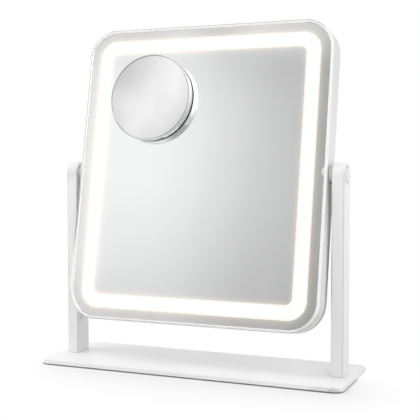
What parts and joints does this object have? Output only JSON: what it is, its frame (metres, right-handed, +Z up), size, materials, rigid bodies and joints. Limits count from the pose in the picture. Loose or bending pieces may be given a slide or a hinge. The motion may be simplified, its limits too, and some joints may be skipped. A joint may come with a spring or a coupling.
{
  "type": "lighted makeup mirror",
  "caption": "Tabletop makeup mirror: a framed pane with a lit band turns between posts on a flat base, and a round magnifier pulls off its face.",
  "frame": {"origin": "on the floor under the middle of the base", "axes": "+X to the right of someone who looks into the mirror, +Y towards the back, +Z up"},
  "size_m": [0.3, 0.096, 0.3263],
  "materials": {
    "white_paint": "satin powder coat",
    "white_plastic": "satin moulded",
    "pad": "matte non-slip foam rubber",
    "insert": "as cast",
    "steel": "zinc plated",
    "nylon": "natural",
    "pane": "polished clear",
    "silvering": "silvered",
    "tape": "foam tape",
    "opal": "opal, lit from behind",
    "tray": "white reflector",
    "white_board": "white solder mask",
    "led": "light chip",
    "green_board": "green solder mask",
    "black_plastic": "moulded black",
    "button": "polished",
    "chrome": "bright plated",
    "cup_rubber": "clear soft rubber"
  },
  "bodies": {
    "stand": {"base_plate": "white_paint", "base_pad": "pad", "post_left": "white_paint", "post_right": "white_paint", "post_insert_left": "insert", "post_insert_right": "insert", "post_screws": "steel", "pivot_bush_left": "nylon", "pivot_bush_right": "nylon", "pivot_spring_left": "steel", "pivot_spring_right": "steel", "pivot_cap_left": "white_plastic", "pivot_cap_right": "white_plastic"},
    "head": {"front_frame": "white_plastic", "mirror_glass": "pane", "mirror_coating": "silvering", "glass_tape": "tape", "light_diffuser": "opal", "light_tray": "tray", "led_board": "white_board", "led_chips": "led", "led_leads": "black_plastic", "back_cover": "white_plastic", "cover_screws": "steel", "control_board": "green_board", "board_parts": "black_plastic", "board_screws": "steel", "socket_shell": "steel", "socket_tongue": "black_plastic", "switch_body": "black_plastic", "pivot_bracket_left": "steel", "pivot_bracket_right": "steel", "pivot_bolt_left": "steel", "pivot_bolt_right": "steel", "pivot_spacer_left": "white_plastic", "pivot_spacer_right": "white_plastic"},
    "button": {"power_button": "button", "switch_plunger": "nylon"},
    "magnifier": {"magnifier_body": "white_plastic", "magnifier_bezel": "chrome", "magnifier_mirror": "silvering", "suction_cups": "cup_rubber"}
  },
  "joints": [
    {"name": "head_tilt", "type": "hinge", "parent": "stand", "child": "head", "pos_m": [0, 0, 0.1852], "axis": [1, 0, 0], "continuous": true},
    {"name": "magnifier_pull", "type": "slide", "parent": "head", "child": "magnifier", "axis": [0, -0.9836, 0.1805], "range_m": [0, 0.06]},
    {"name": "button_press", "type": "slide", "parent": "head", "child": "button", "axis": [0, -0.9836, 0.1805], "range_m": [0, 0.0007], "stiffness_N_per_m": 1500, "springref_m": -0.0004}
  ]
}
